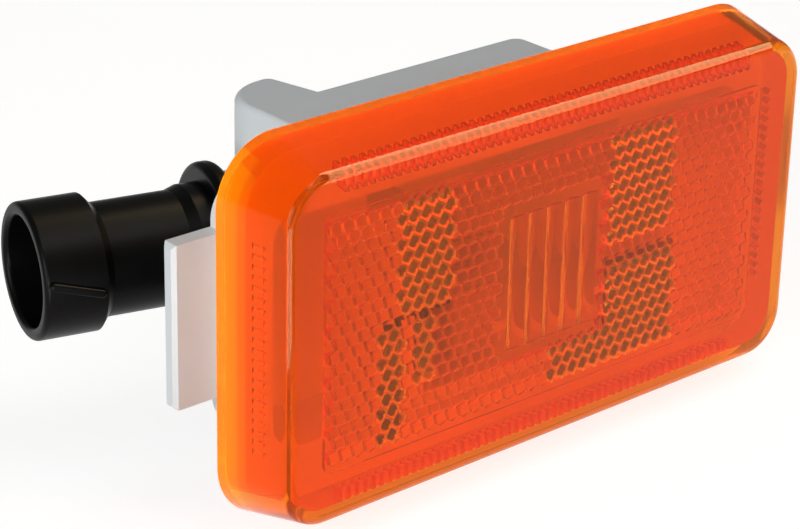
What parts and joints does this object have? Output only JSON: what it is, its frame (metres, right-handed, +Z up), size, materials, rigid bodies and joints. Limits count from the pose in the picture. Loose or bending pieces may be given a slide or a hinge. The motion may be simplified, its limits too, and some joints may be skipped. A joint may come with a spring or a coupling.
{
  "type": "side marker lamp",
  "caption": "Rectangular amber side marker lamp: reflex reflector lens on a white snap-in housing, with an angled black twist-lock bulb holder and plug receptacle.",
  "frame": {"origin": "centre of the face that lies on the vehicle's panel, level with the back edge of the lens", "axes": "+X along the lens, +Z up, and the lens faces -Y"},
  "size_m": [0.1201, 0.0613, 0.06],
  "materials": {
    "amber_lens": "polished transparent amber plastic",
    "white_housing": "satin white moulded plastic",
    "black_holder": "satin black moulded plastic",
    "seal_rubber": "black rubber",
    "terminal_brass": "tinned brass strip",
    "bulb_glass": "clear glass",
    "bulb_wire": "drawn wire"
  },
  "bodies": {
    "root": {"lens": "amber_lens", "housing": "white_housing", "bulb_holder": "black_holder", "holder_seal": "seal_rubber", "terminal_upper": "terminal_brass", "terminal_lower": "terminal_brass", "bulb_glass": "bulb_glass", "bulb_lead_wires": "bulb_wire", "bulb_filament": "bulb_wire"}
  },
  "joints": []
}
